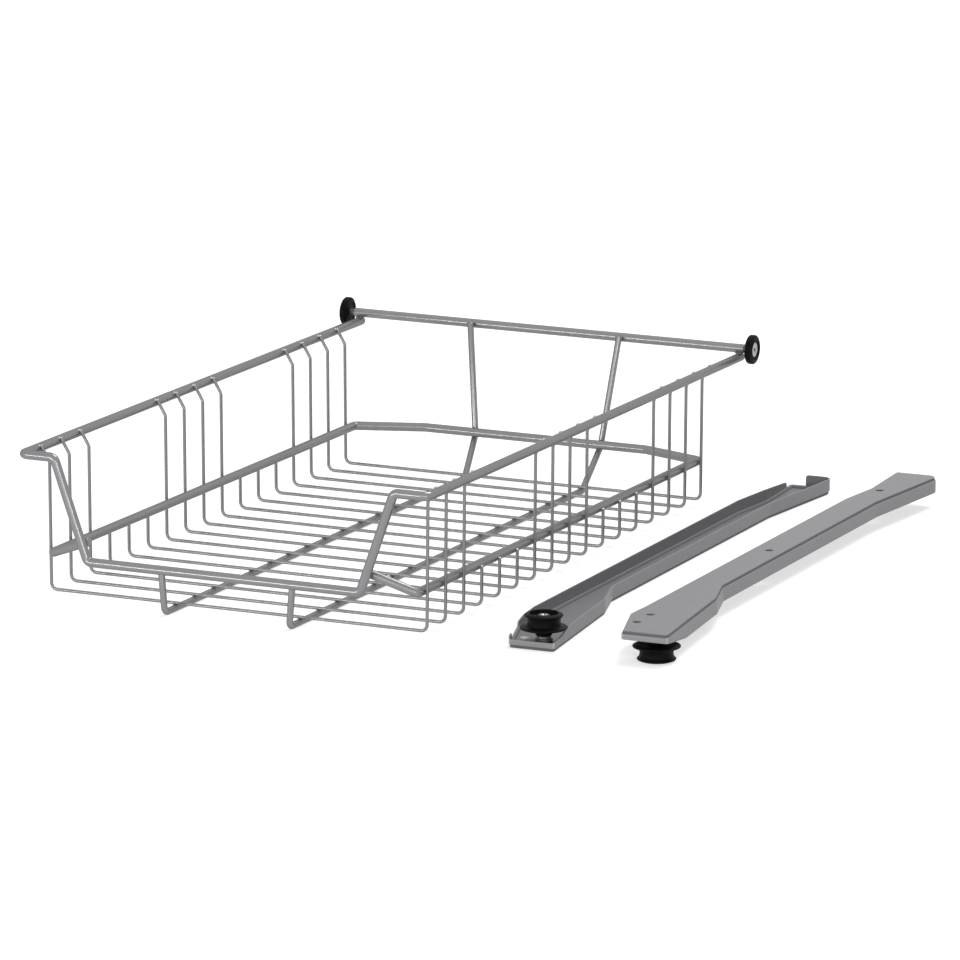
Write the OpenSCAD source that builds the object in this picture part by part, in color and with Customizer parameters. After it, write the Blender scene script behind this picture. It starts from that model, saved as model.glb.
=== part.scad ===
// Pull out wire basket for a base cabinet, with its two side rails laid out beside it.
// Lengths are in millimetres, +Z is up and the basket pulls out towards -Y.
// The origin is the middle of the set's footprint, on the surface that it lies on.

/* [Cross wires] */
// Number of cross wires from front to back
wire_count = 17; // [8:1:20]
// Wire diameter
wire_d = 2.5; // [2:0.1:3.5]
// Distance from one cross wire to the next
wire_pitch = 30.5; // [24:0.5:36]
// Distance between the uprights of a cross wire at the floor, centre to centre
floor_w = 308.4; // [280:0.2:312]
// How far each upright leans out at its upper bend
wire_lean = 0.65; // [0:0.05:1.5]
// Bend radius at the floor corners, on the inside of the bend
wire_floor_r = 3.8; // [2:0.1:10]
// Bend radius at the tall wires' upper bends, on the inside of the bend
wire_tip_r = 2.7; // [1:0.1:4]
// Height of the outward bend of the tall wires
wire_bend_h = 96; // [90:0.5:98]
// Length of a tall wire's tip past its contact with the side rod
tall_tip_past = 1; // [0.2:0.2:3]
// Height of a short wire's end above the ring's centre
short_past = 0.8; // [0:0.1:3]
// Wires in each repeat of the tall and short pattern
pattern_wires = 7; // [5:1:9]
// Tall wires before the short ones in each repeat
pattern_tall_first = 3; // [1:1:3]
// Short wires in each repeat
pattern_short = 3; // [1:1:3]

/* [Top frame] */
// Diameter of the top frame's rod
frame_d = 7; // [5:0.1:8]
// Distance between the side rods, centre to centre
frame_w = 330.6; // [328:0.2:340]
// Height of the side rods above the floor wires, centre to centre
frame_h = 105.2; // [104:0.2:112]
// Distance of the frame's front in front of the first wire
frame_front = 22.7; // [20:0.1:35]
// Reach of the side rods past the last wire
frame_back = 53.6; // [52:0.2:70]
// Length of the lips at the front corners, from the side rods inwards
lip_l = 26.7; // [20:0.1:34]
// Distance between the feet of the two sloping legs, centre to centre
dip_floor_w = 223; // [190:0.2:230]
// Height of the front bar above the floor wires, centre to centre
dip_h = 29.2; // [24:0.1:34]
// Bend radius of the top frame, on the inside of the bend
frame_r = 1.5; // [0.5:0.1:7]

/* [Middle ring] */
// Diameter of the ring's rod
ring_d = 7; // [5:0.1:8]
// Height of the ring above the floor wires, centre to centre
ring_h = 29.3; // [27:0.1:34]
// Distance of the ring's front corners in front of the first wire
ring_front = 6.9; // [5:0.1:8]
// Distance of the ring's rear corners behind the last wire
ring_back = 6.1; // [4:0.1:10]
// Width of each cut-off rear corner, across the basket
ring_cut_w = 53.8; // [40:0.2:60]
// Depth of each cut-off rear corner, along the basket
ring_cut_l = 18.8; // [12:0.2:22]
// Distance of the ring's two ends from the middle of the basket
ring_end_x = 113.6; // [112:0.1:116]
// Height of the ring's two ends above the floor wires
ring_end_h = 43.2; // [41:0.1:46]
// Bend radius of the ring, on the inside of the bend
ring_r = 0.8; // [0.5:0.1:6]

/* [Runners] */
// Diameter of the two runners under the floor
runner_d = 5; // [4:0.1:6]
// Distance from the middle of the basket to each runner under the floor
runner_x = 51.1; // [45:0.1:60]
// Outward lean of each runner's front end
runner_front_lean = 2.8; // [0:0.1:5]
// Height of each runner's front end above the front bar's centre
runner_front_past = 1.5; // [0:0.1:3]
// Outward lean of each runner where it passes the ring
runner_mid_lean = 3.4; // [0:0.1:6]
// Outward lean of each runner at the axle
runner_top_lean = 13.6; // [8:0.1:18]
// Distance from the last wire to the runners' rear bend
runner_back = 3.6; // [3:0.1:6]
// Height of each runner's rear end above the axle's centre
runner_top_past = 1.7; // [0.5:0.1:3]
// Bend radius of the runners, on the inside of the bend
runner_r = 2; // [0.5:0.1:6]

/* [Axle and rear wheels] */
// Diameter of the rear axle
axle_d = 7; // [6:0.1:8]
// Distance from the axle to the rear ends of the side rods
axle_from_end = 5.5; // [5:0.1:12]
// Length of the axle between its shoulders
axle_l = 339.6; // [337:0.2:342]
// Diameter of the axle's neck in each wheel
neck_d = 5; // [4:0.1:5.5]
// Radial running clearance in the wheels
neck_clear = 0.05; // [0.02:0.01:0.1]
// Wheel diameter
wheel_d = 23; // [20:0.5:26]
// Wheel width at its hub
wheel_w = 6; // [5.4:0.1:8]
// Width of the wheel's tread
tread_w = 3.7; // [2:0.1:5]
// Diameter of the wheel's flat faces
wheel_face_d = 17; // [15:0.5:19]
// Gap between the axle's shoulder and the wheel
wheel_gap = 3.3; // [1:0.1:5]
// Diameter of the hub disc
disc_d = 11.7; // [8:0.1:13]
// Thickness of the hub disc
disc_t = 1.2; // [0.8:0.1:1.4]
// Diameter of the hole in the hub disc
disc_hole_d = 3; // [2:0.1:3.5]
// Depth of the hub disc's outer face in the wheel
disc_sunk = 0.7; // [0.2:0.1:1]
// Clearance between the hub disc and the wheel
disc_clear = 0.3; // [0.2:0.05:0.6]

/* [Rails] */
// Length of each rail
rail_len = 578; // [560:1:620]
// Sheet thickness
rail_t = 1.2; // [1:0.1:2]
// Height of the flanges, from the outer face of the rail
flange_h = 12.2; // [11:0.1:14]
// Height of the flange across the front
front_flange_h = 6.4; // [5:0.1:9]
// Height of the small tab at the left rail's front corner
tab_h = 8.4; // [7:0.1:11]
// Length of the small tab
tab_l = 12; // [8:0.5:16]
// Outer width of the channel
track_w = 27.1; // [27:0.1:32]
// Distance from the screw line to the outer face of the upper flange
screw_line = 14.3; // [13:0.1:16]
// Raised height of the mounting face around its edge
pad_step = 2.2; // [1:0.1:3]
// Distance from the flanges to the mounting face's edge
pad_inset = 1; // [0.5:0.1:2]
// Distance from the screw line to the lower front corner
nose_low = 36.9; // [34:0.1:40]
// Distance from the screw line to the upper front corner
nose_high = 0.5; // [-3:0.1:3]
// Distance from the front to the widest point of the upper edge
shoulder_l = 52; // [45:0.5:60]
// Bulge of the upper edge past the channel there
shoulder_out = 1; // [0:0.1:2]
// Distance from the front to where the upper edge runs straight
upper_straight = 80; // [75:1:100]
// Distance from the front to the end of the nose on the lower edge
nose_l = 123; // [100:1:130]
// Extra width of the nose there, past the channel
nose_end_out = 11; // [6:0.1:14]
// Distance from the front to where the lower edge runs straight
neck_l = 162; // [150:1:180]
// Length of the sloping rear part
drop_l = 106; // [90:1:120]
// Drop of the lower flange along the rear part
drop_low = 9.8; // [4:0.1:12]
// Drop of the upper flange along the rear part
drop_high = 4.5; // [2:0.1:6]
// Length of the flat tail behind the slope
tail_l = 11; // [9:0.5:14]
// Recovery of the upper edge at the tail
tail_high = 3.4; // [1:0.1:4]
// Distance from the screw line to the free end of the rear stop
stop_end = -0.8; // [-2:0.1:4]
// Radius of the rail's lower rear corner
tail_r = 8; // [4:0.5:10]
// Radius of the rail's other corners
nose_r = 3; // [1:0.5:5]
// Distance from the front over which the lower flange rises to its full height
low_rise_l = 45; // [20:1:50]
// Length over which the upper flange rises to its full height
high_rise_l = 28; // [15:1:40]
// Height of the upper flange at its rear end
high_tail_h = 7.8; // [6:0.1:11]
// Distance from the rail's rear to the end of the upper flange
high_tail_back = 13; // [12:0.5:40]
// Distance from the front to the first screw hole
screw_first = 30; // [26:0.5:34]
// Distance from the first screw hole to the second
screw_2 = 25; // [20:0.5:32]
// Distance from the first screw hole to the third
screw_3 = 252; // [224:0.5:256]
// Distance from the first screw hole to the fourth
screw_4 = 479; // [440:0.5:482]
// Screw hole diameter
screw_d = 6.3; // [4:0.1:7]

/* [Front rollers] */
// Distance from the screw line down to the roller's axis
roller_low = 20.3; // [19:0.1:22]
// Distance from the rail's front to the roller's axis
roller_from_front = 18.6; // [18.4:0.1:24]
// Distance from the rail's outer face to the middle of the roller's groove
groove_out = 17.7; // [17.5:0.1:22]
// Roller diameter at the bottom of its groove
groove_d = 24.1; // [20:0.1:26]
// Distance between the middles of the two flanges
flange_gap = 9.2; // [8.8:0.1:11]
// Diameter of the roller's inner flange
inner_flange_d = 35.3; // [32:0.1:37]
// Diameter of the roller's outer flange
outer_flange_d = 28.8; // [27:0.1:32]
// Thickness of the two flanges at their rims
rim_t = 2; // [1.6:0.1:2.2]
// Diameter of the roller's stem
stem_d = 12; // [9:0.1:16]
// Diameter of the recess in the roller's outer end
cup_d = 21; // [14:0.1:22]
// Depth of the recess
cup_depth = 3; // [2:0.1:5]
// Distance from the middle of the outer flange to the roller's outer end
end_out = 1.6; // [1.2:0.1:3]
// Diameter of the rivet in the roller
rivet_d = 6; // [5:0.1:7]
// Radial running clearance on the rivet
rivet_clear = 0.05; // [0.02:0.01:0.1]
// Diameter of the rivet's head
rivet_head_d = 9; // [8:0.1:11]
// Thickness of the rivet's head
rivet_head_t = 1.4; // [0.8:0.1:1.6]
// Diameter of the collar at the rivet's foot
collar_d = 12.8; // [9:0.1:16]
// Diameter of the step on the collar
collar_step_d = 10.6; // [7.5:0.1:12]
// Height of the collar's foot
collar_h = 4; // [1.5:0.1:4.5]
// Height of the step on the collar
collar_step_h = 2; // [1:0.1:2.4]
// Running gap at each end of the roller
roller_gap = 0.3; // [0.2:0.05:0.5]

/* [Layout] */
// Sideways place of the left rail's front, from the middle of the basket
rail_left_x = 216.7; // [212:0.1:240]
// Place of the left rail's front behind the first wire
rail_left_y = 3.7; // [-10:0.1:20]
// Sideways place of the right rail's front, from the middle of the basket
rail_right_x = 309; // [306:0.1:340]
// Place of the right rail's front behind the first wire
rail_right_y = -3.5; // [-20:0.1:10]
// Turn of both rails as they lie, in degrees
rail_yaw = 1.27; // [0:0.01:1.5]

/* [Hidden] */
$fn = 48;
// Gap between rods at a weld
weld_gap = 0.05;
// Extra radius of a rod in its bends
bend_swell = 0.02;
// Length by which each straight run enters a bend
bend_lap = 0.1;
// Segments in a rounded corner of a rail's outline
corner_steps = 5;
// Extra length of a cut past the surface
past = 1;

wire_names = [for (i = [1 : wire_count]) str("cross_wire_", i < 10 ? "0" : "", i)];
rod_names = ["top_frame", "middle_ring", "runner_left", "runner_right", "rear_axle"];
wheel_names = ["wheel_left", "wheel_right", "hub_disc_left", "hub_disc_right"];
rail_names = ["rail_left", "rail_right", "rivet_left", "rivet_right", "roller_left", "roller_right"];

steel = [0.6, 0.6, 0.61];
bright = [0.78, 0.78, 0.79];
plastic = [0.05, 0.05, 0.05];

// Heights and places in the basket, from the centre of the first floor wire.
last_wire_y = (wire_count - 1) * wire_pitch;
rod_touch = frame_d / 2 + wire_d / 2 + weld_gap;
ring_touch = ring_d / 2 + wire_d / 2 + weld_gap;
ring_x = floor_w / 2 + wire_lean * ring_h / wire_bend_h - ring_touch;
ring_back_y = last_wire_y + ring_back + ring_cut_l;
runner_z = -(wire_d + runner_d) / 2 - weld_gap;
ground_z = runner_z - runner_d / 2;
frame_end_y = last_wire_y + frame_back;
axle_y = frame_end_y - axle_from_end;
axle_z = frame_h + (frame_d + axle_d) / 2 + weld_gap;
wheel_x = axle_l / 2 + wheel_gap + wheel_w / 2;

// Heights above a rail's outer face.
web_z = pad_step + rail_t;
inner_flange_z = groove_out - flange_gap / 2;
outer_flange_z = groove_out + flange_gap / 2;
roller_end_z = outer_flange_z + end_out;
collar_top_z = rail_t + collar_h + collar_step_h;

function unit(v) = v / norm(v);
function across(d) = unit(cross(abs(d.z) < 0.9 ? [0, 0, 1] : [1, 0, 0], d));
function placed(at, x, y, z) = [
    [x.x, y.x, z.x, at.x],
    [x.y, y.y, z.y, at.y],
    [x.z, y.z, z.z, at.z],
    [0, 0, 0, 1]
];
function mirrored(points) = [for (p = points) [-p.x, p.y, p.z]];
function reversed(points) = [for (i = [len(points) - 1 : -1 : 0]) points[i]];
function turn_at(points, i) = acos(unit(points[i] - points[i - 1]) * unit(points[i + 1] - points[i]));
function radius(radii, i) = is_list(radii) ? radii[i - 1] : radii;
function cut_back(points, i, radii) = radius(radii, i) * tan(turn_at(points, i) / 2);

// One straight length of rod.
module rod_run(a, b, d) {
    z = unit(b - a);
    x = across(z);
    multmatrix(placed(a, x, cross(z, x), z))
        cylinder(h = norm(b - a), d = d);
}

// One bend of a rod at the corner points[i].
module rod_bend(points, i, radii, d) {
    into = unit(points[i] - points[i - 1]);
    out = unit(points[i + 1] - points[i]);
    inward = unit(out - (into * out) * into);
    start = points[i] - into * cut_back(points, i, radii);
    multmatrix(placed(start + inward * radius(radii, i), -inward, into, cross(-inward, into)))
        rotate_extrude(angle = turn_at(points, i))
            translate([radius(radii, i), 0])
                circle(d = d + 2 * bend_swell);
}

// A rod through the points. Its inner radii are one number, or one for each corner.
module bent_rod(points, d, inner_radii) {
    last = len(points) - 1;
    radii = is_list(inner_radii) ? [for (r = inner_radii) r + d / 2] : inner_radii + d / 2;
    for (i = [0 : last - 1]) {
        along = unit(points[i + 1] - points[i]);
        start_cut = i == 0 ? 0 : cut_back(points, i, radii) - bend_lap;
        end_cut = i == last - 1 ? 0 : cut_back(points, i + 1, radii) - bend_lap;
        rod_run(points[i] + along * start_cut, points[i + 1] - along * end_cut, d);
    }
    for (i = [1 : last - 1])
        rod_bend(points, i, radii, d);
}

// Moves a piece from the basket's own frame to the set's.
module in_basket() {
    translate([-middle.x, -middle.y, -ground_z])
        children();
}

// Cross wires. The tall ones lean on the side rods, the short ones end at the ring's side.
function is_short(i) =
    i % pattern_wires >= pattern_tall_first && i % pattern_wires < pattern_tall_first + pattern_short;

bend_x = floor_w / 2 + wire_lean;
rod_from_bend = [frame_w / 2 - bend_x, frame_h - wire_bend_h];
tip_angle = atan2(rod_from_bend.y, rod_from_bend.x) + asin(rod_touch / norm(rod_from_bend));
tip_l = sqrt(norm(rod_from_bend) ^ 2 - rod_touch ^ 2) + tall_tip_past;
tall_side = [
    [bend_x + tip_l * cos(tip_angle), 0, wire_bend_h + tip_l * sin(tip_angle)],
    [bend_x, 0, wire_bend_h],
    [floor_w / 2, 0, 0]
];
short_z = ring_h + short_past;
short_side = [
    [floor_w / 2 + wire_lean * short_z / wire_bend_h, 0, short_z],
    [floor_w / 2, 0, 0]
];

module cross_wire(i) {
    short = is_short(i);
    side = short ? short_side : tall_side;
    radii = short ? wire_floor_r : [wire_tip_r, wire_floor_r, wire_floor_r, wire_tip_r];
    color(steel)
        in_basket()
            translate([0, i * wire_pitch, 0])
                bent_rod(concat(mirrored(side), reversed(side)), wire_d, radii);
}

// Top frame: side rods, lips, sloping legs and the low front bar, bent from one rod.
module top_frame() {
    half = [
        [frame_w / 2, frame_end_y - frame_d / 2, frame_h],
        [frame_w / 2, -frame_front, frame_h],
        [frame_w / 2 - lip_l, -frame_front, frame_h],
        [dip_floor_w / 2, -frame_front, dip_h]
    ];
    color(steel)
        in_basket() {
            bent_rod(concat(half, reversed(mirrored(half))), frame_d, frame_r);
            for (side = [-1, 1])
                translate([side * half[0].x, half[0].y, half[0].z])
                    sphere(d = frame_d);
        }
}

// Middle ring: open at the front, where its ends rise and meet the backs of the legs.
leg_slope = (frame_w / 2 - lip_l - dip_floor_w / 2) / (frame_h - dip_h);
leg_way = unit([leg_slope, 0, 1]);
end_run = [ring_x - ring_end_x, 0, ring_h - ring_end_h];
ring_end_y = -frame_front + leg_reach(0);

// Distance behind the leg's centre at which the ring's end touches the leg, refined from y.
function leg_reach(n, y = 0) =
    let (way = unit(end_run + [0, -ring_front + frame_front - y, 0]))
    let (square = cross(leg_way, way))
    let (foot = [dip_floor_w / 2, 0, dip_h] - [ring_end_x, 0, ring_end_h])
    let (wanted = (frame_d + ring_d) / 2 + weld_gap)
    let (found = (wanted * norm(square) - abs(foot.x * square.x + foot.z * square.z)) / abs(square.y))
    n == 3 ? found : leg_reach(n + 1, found);

module middle_ring() {
    half = [
        [ring_end_x, ring_end_y, ring_end_h],
        [ring_x, -ring_front, ring_h],
        [ring_x, last_wire_y + ring_back, ring_h],
        [ring_x - ring_cut_w, ring_back_y, ring_h]
    ];
    color(steel)
        in_basket()
            bent_rod(concat(half, reversed(mirrored(half))), ring_d, ring_r);
}

// Runner under the floor, from the front bar to the axle.
bar_touch = (frame_d + runner_d) / 2 + weld_gap;
back_bar_touch = (ring_d + runner_d) / 2 + weld_gap;
axle_touch = (axle_d + runner_d) / 2 + weld_gap;
runner_front_y = -frame_front + bar_touch;
runner_bend_y = last_wire_y + runner_back;

// Place of the bend behind the ring: as far out as its arc needs to clear the ring's bar.
function behind_bar(n, lower, upper) =
    let (middle_way = unit(unit([lower.x, lower.y]) + unit([upper.x, upper.y])))
    let (turn = acos(unit(lower) * unit(upper)))
    let (out = back_bar_touch + (runner_r + runner_d / 2) * (1 / cos(turn / 2) - 1))
    let (found = [ring_back_y + middle_way.y * out, ring_h - middle_way.x * out])
    n == 4 ? found : behind_bar(n + 1, found - [runner_bend_y, runner_z], axle_contact(found) - found);

// Point of the rear riser at the axle's height, for a riser that starts at p.
function axle_contact(p) =
    let (to_axle = [axle_y, axle_z] - p)
    let (lean = atan2(to_axle.x, to_axle.y) - asin(axle_touch / norm(to_axle)))
    [p.x + to_axle.y * tan(lean), axle_z];

runner_mid = behind_bar(0, [1, 1], [0, 1]);
runner_at_axle = axle_contact(runner_mid);
riser_rise = (runner_at_axle - runner_mid) / (axle_z - runner_mid.y);

module runner(side) {
    front_z = dip_h + runner_front_past;
    top = runner_at_axle + riser_rise * runner_top_past;
    path = [
        [runner_x + runner_front_lean, runner_front_y, front_z],
        [runner_x, runner_front_y, runner_z],
        [runner_x, runner_bend_y, runner_z],
        [runner_x + runner_mid_lean, runner_mid.x, runner_mid.y],
        [runner_x + runner_top_lean, top.x, top.y]
    ];
    color(steel)
        in_basket()
            bent_rod(side < 0 ? mirrored(path) : path, runner_d, runner_r);
}

// Rear axle, with a thinner neck for each wheel.
disc_in = disc_sunk + disc_t;
wheel_out_x = wheel_x + wheel_w / 2;
neck_end_x = wheel_out_x - disc_in;

module rear_axle() {
    color(steel)
        in_basket()
            translate([0, axle_y, axle_z])
                rotate([0, 90, 0]) {
                    cylinder(h = axle_l, d = axle_d, center = true);
                    cylinder(h = 2 * neck_end_x, d = neck_d, center = true);
                }
}

// Places a wheel piece on the axle, with +Z pointing away from the basket.
module at_wheel(side) {
    in_basket()
        translate([side * wheel_x, axle_y, axle_z])
            rotate([0, side * 90, 0])
                children();
}

module wheel(side) {
    color(plastic)
        at_wheel(side)
            rotate_extrude()
                polygon([
                    [neck_d / 2 + neck_clear, -wheel_w / 2],
                    [wheel_face_d / 2, -wheel_w / 2],
                    [wheel_d / 2, -tread_w / 2],
                    [wheel_d / 2, tread_w / 2],
                    [wheel_face_d / 2, wheel_w / 2],
                    [disc_d / 2 + disc_clear, wheel_w / 2],
                    [disc_d / 2 + disc_clear, wheel_w / 2 - disc_in - disc_clear],
                    [neck_d / 2 + neck_clear, wheel_w / 2 - disc_in - disc_clear]
                ]);
}

module hub_disc(side) {
    color(steel)
        at_wheel(side)
            translate([0, 0, wheel_w / 2 - disc_in])
                difference() {
                    cylinder(h = disc_t, d = disc_d);
                    translate([0, 0, -past])
                        cylinder(h = disc_t + 2 * past, d = disc_hole_d);
                }
}

// A rail lies along +Y from its front edge. x = 0 is its line of screw holes, its
// lower flange is on the +X side, and z = 0 is the face that goes on the cabinet.
track_right = track_w - screw_line;
tail_y = rail_len - tail_l;
drop_y = tail_y - drop_l + drop_low;

// Corners of its outline, counter-clockwise, each with the radius of its rounding.
rail_corners = [
    [nose_high, 0, nose_r],
    [nose_low, 0, nose_r],
    [track_right + nose_end_out, nose_l, 0],
    [track_right, neck_l, 0],
    [track_right, drop_y, 0],
    [track_right + drop_low, tail_y, 0],
    [track_right + drop_low, rail_len, tail_r],
    [-screw_line + drop_high - tail_high, rail_len, nose_r],
    [-screw_line + drop_high, tail_y - drop_l / 2, 0],
    [-screw_line, drop_y, 0],
    [-screw_line, upper_straight, 0],
    [-screw_line - shoulder_out, shoulder_l, 0]
];

function flat(p) = [p.x, p.y];
function left_of(v) = [-v.y, v.x];
function before(corners, i) = flat(corners[(i + len(corners) - 1) % len(corners)]);
function after(corners, i) = flat(corners[(i + 1) % len(corners)]);

// The corners moved inwards by the distance d, with their radii reduced by it.
function inset(corners, d) = [
    for (i = [0 : len(corners) - 1])
        let (p = flat(corners[i]))
        let (n1 = left_of(unit(p - before(corners, i))))
        let (n2 = left_of(unit(after(corners, i) - p)))
        let (moved = p + (n1 + n2) * d / (1 + n1 * n2))
        [moved.x, moved.y, max(0, corners[i].z - d)]
];

// The outline's points, with an arc at each corner that has a radius.
function rounded(corners) = [
    for (i = [0 : len(corners) - 1])
        let (p = flat(corners[i]))
        let (r = corners[i].z)
        let (into = unit(p - before(corners, i)))
        let (out = unit(after(corners, i) - p))
        let (turn = acos(into * out))
        let (centre = p - into * r * tan(turn / 2) + left_of(into) * r)
        each r == 0 ? [p] : [for (k = [0 : corner_steps])
            let (a = turn * k / corner_steps)
            centre - left_of(into) * r * cos(a) + into * r * sin(a)]
];

rail_outline = rounded(rail_corners);
pad_outline = rounded(inset(rail_corners, pad_inset));
wall_outline = rounded(inset(rail_corners, rail_t));
pad_wall_outline = rounded(inset(rail_corners, pad_inset + rail_t));

// The outline's rim as a wall of the sheet's thickness.
module rim_wall(outer, inner, z0, z1) {
    translate([0, 0, z0])
        linear_extrude(z1 - z0)
            difference() {
                polygon(outer);
                polygon(inner);
            }
}

// Keeps the part of a wall from x0 to x1 that lies in a side profile of [y, z] points.
module within(x0, x1, profile) {
    intersection() {
        children();
        translate([x0, 0, 0])
            rotate([90, 0, 90])
                linear_extrude(x1 - x0)
                    polygon(profile);
    }
}

module flanges(tab) {
    far = rail_len + past;
    tab_x = nose_high + nose_r;
    high_end = rail_len - high_tail_back;
    within(tab_x, nose_low + past, [
        [-past, 0], [far - tail_l - tail_r, 0], [far - tail_l - tail_r, flange_h],
        [low_rise_l, flange_h], [rail_t, front_flange_h], [-past, front_flange_h]
    ])
        rim_wall(rail_outline, wall_outline, pad_step, flange_h);
    within(stop_end, nose_low + past, [
        [tail_y - 2 * tail_r, 0], [far, 0], [far, flange_h], [tail_y - 2 * tail_r, flange_h]
    ])
        rim_wall(rail_outline, wall_outline, pad_step, flange_h);
    within(nose_high - tab_l, tab_x, [
        [-past, 0], [tab_l, 0], [tab_l, front_flange_h], [tab_l - nose_r, tab], [-past, tab]
    ])
        rim_wall(rail_outline, wall_outline, pad_step, flange_h);
    within(-screw_line - shoulder_out - past, 0, [
        [shoulder_l - past, 0], [high_end, 0], [high_end, high_tail_h],
        [tail_y - drop_l / 2, flange_h], [shoulder_l + high_rise_l, flange_h],
        [shoulder_l + high_rise_l / 3, flange_h - (flange_h - front_flange_h) * 0.4],
        [shoulder_l - past, front_flange_h]
    ])
        rim_wall(rail_outline, wall_outline, pad_step, flange_h);
}

// The tab stands at the front corner of the upper edge.
module rail(tab) {
    difference() {
        union() {
            linear_extrude(rail_t)
                polygon(pad_outline);
            rim_wall(pad_outline, pad_wall_outline, 0, web_z);
            rim_wall(rail_outline, pad_wall_outline, pad_step, web_z);
            flanges(tab);
        }
        for (y = [0, screw_2, screw_3, screw_4])
            translate([0, screw_first + y, -past])
                cylinder(h = rail_t + 2 * past, d = screw_d);
    }
}

// The left rail lies on its mounting face, the right one stands on its roller.
module at_rail(side) {
    left = side < 0;
    spot = left ? [rail_left_x, rail_left_y] : [rail_right_x, rail_right_y];
    translate([spot.x - middle.x, spot.y - middle.y, left ? 0 : roller_end_z])
        rotate([0, 0, rail_yaw])
            mirror([0, 0, left ? 0 : 1])
                children();
}

module at_roller(side) {
    at_rail(side)
        translate([roller_low, roller_from_front, 0])
            children();
}

// Rivet: a stepped collar on the rail, the roller's shaft and its head.
cup_floor_z = roller_end_z - cup_depth;
head_z = cup_floor_z + roller_gap;

module rivet(side) {
    color(bright)
        at_roller(side)
            translate([0, 0, rail_t]) {
                cylinder(h = collar_h, d = collar_d);
                cylinder(h = collar_h + collar_step_h, d = collar_step_d);
                cylinder(h = head_z - rail_t, d = rivet_d);
                translate([0, 0, head_z - rail_t])
                    cylinder(h = rivet_head_t, d = rivet_head_d);
            }
}

module roller(side) {
    bore_r = rivet_d / 2 + rivet_clear;
    stem_z = collar_top_z + roller_gap;
    groove_flat = flange_gap / 2 - rim_t;
    color(plastic)
        at_roller(side)
            rotate_extrude()
                polygon([
                    [bore_r, stem_z],
                    [stem_d / 2, stem_z],
                    [stem_d / 2, inner_flange_z - rim_t],
                    [inner_flange_d / 2 - rim_t / 2, inner_flange_z - rim_t / 2],
                    [inner_flange_d / 2, inner_flange_z],
                    [inner_flange_d / 2 - rim_t / 2, inner_flange_z + rim_t / 2],
                    [groove_d / 2, groove_out - groove_flat / 2],
                    [groove_d / 2, groove_out + groove_flat / 2],
                    [outer_flange_d / 2 - rim_t / 2, outer_flange_z - rim_t / 2],
                    [outer_flange_d / 2, outer_flange_z],
                    [outer_flange_d / 2 - rim_t / 2, outer_flange_z + rim_t / 2],
                    [cup_d / 2 + rim_t / 2, roller_end_z],
                    [cup_d / 2, roller_end_z],
                    [cup_d / 2, cup_floor_z],
                    [bore_r, cup_floor_z]
                ]);
}

// Footprint of the whole set, in the basket's own frame.
function turned(p) = [p.x * cos(rail_yaw) - p.y * sin(rail_yaw), p.x * sin(rail_yaw) + p.y * cos(rail_yaw)];
turned_outline = [for (p = rail_outline) turned(p)];
turned_roller = turned([roller_low, roller_from_front]);
rails_right = max(max([for (p = turned_outline) p.x]), turned_roller.x + inner_flange_d / 2);
rails_back = max([for (p = turned_outline) p.y]);
rails_front = min(min([for (p = turned_outline) p.y]), turned_roller.y - inner_flange_d / 2);
set_left = -wheel_out_x;
set_right = max(rail_left_x, rail_right_x) + rails_right;
set_front = min(-frame_front - frame_d / 2, min(rail_left_y, rail_right_y) + rails_front);
set_back = max(frame_end_y, axle_y + wheel_d / 2, max(rail_left_y, rail_right_y) + rails_back);
middle = [(set_left + set_right) / 2, (set_front + set_back) / 2];

for (i = [0 : wire_count - 1])
    cross_wire(i);
top_frame();
middle_ring();
runner(-1);  // runner_left
runner(1);  // runner_right
rear_axle();
wheel(-1);  // wheel_left
wheel(1);  // wheel_right
hub_disc(-1);  // hub_disc_left
hub_disc(1);  // hub_disc_right
color(steel) at_rail(-1) rail(tab_h);  // rail_left
color(steel) at_rail(1) rail(front_flange_h);  // rail_right
rivet(-1);  // rivet_left
rivet(1);  // rivet_right
roller(-1);  // roller_left
roller(1);  // roller_right
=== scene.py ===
import math

import bmesh
import bpy
from mathutils import Matrix, Vector


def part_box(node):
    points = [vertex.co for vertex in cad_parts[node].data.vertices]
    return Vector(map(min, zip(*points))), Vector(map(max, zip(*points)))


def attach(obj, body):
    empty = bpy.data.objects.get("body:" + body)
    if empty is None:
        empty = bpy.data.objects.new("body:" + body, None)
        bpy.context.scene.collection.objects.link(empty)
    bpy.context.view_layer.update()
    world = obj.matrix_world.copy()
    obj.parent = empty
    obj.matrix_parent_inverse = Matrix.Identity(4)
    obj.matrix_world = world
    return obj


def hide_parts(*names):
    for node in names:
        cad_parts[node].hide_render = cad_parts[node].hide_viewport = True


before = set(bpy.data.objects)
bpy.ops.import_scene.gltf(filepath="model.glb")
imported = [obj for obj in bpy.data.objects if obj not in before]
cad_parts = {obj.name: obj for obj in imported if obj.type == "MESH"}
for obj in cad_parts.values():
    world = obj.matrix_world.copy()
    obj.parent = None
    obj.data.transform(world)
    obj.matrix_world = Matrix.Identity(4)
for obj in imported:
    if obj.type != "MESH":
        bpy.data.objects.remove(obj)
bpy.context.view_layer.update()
print("frame loaded:", len(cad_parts), "nodes")

mm = 0.001
wireLow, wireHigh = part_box("cross_wire_01")
axleLow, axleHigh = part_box("rear_axle")
firstWire = Vector((
    (axleLow.x + axleHigh.x) / 2,
    (wireLow.y + wireHigh.y) / 2,
    wireLow.z + (wireHigh.y - wireLow.y) / 2,
))  # middle of the first floor wire, in the set's frame


def inBasket(x, y, z):
    return firstWire + Vector((x, y, z)) * mm


def bothSides(half):
    # (x, y, z) places from a rod's right end to its middle, as a path from its left end to its right
    return [inBasket(-x, y, z) for x, y, z in half] + [inBasket(*place) for place in reversed(half)]


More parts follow.
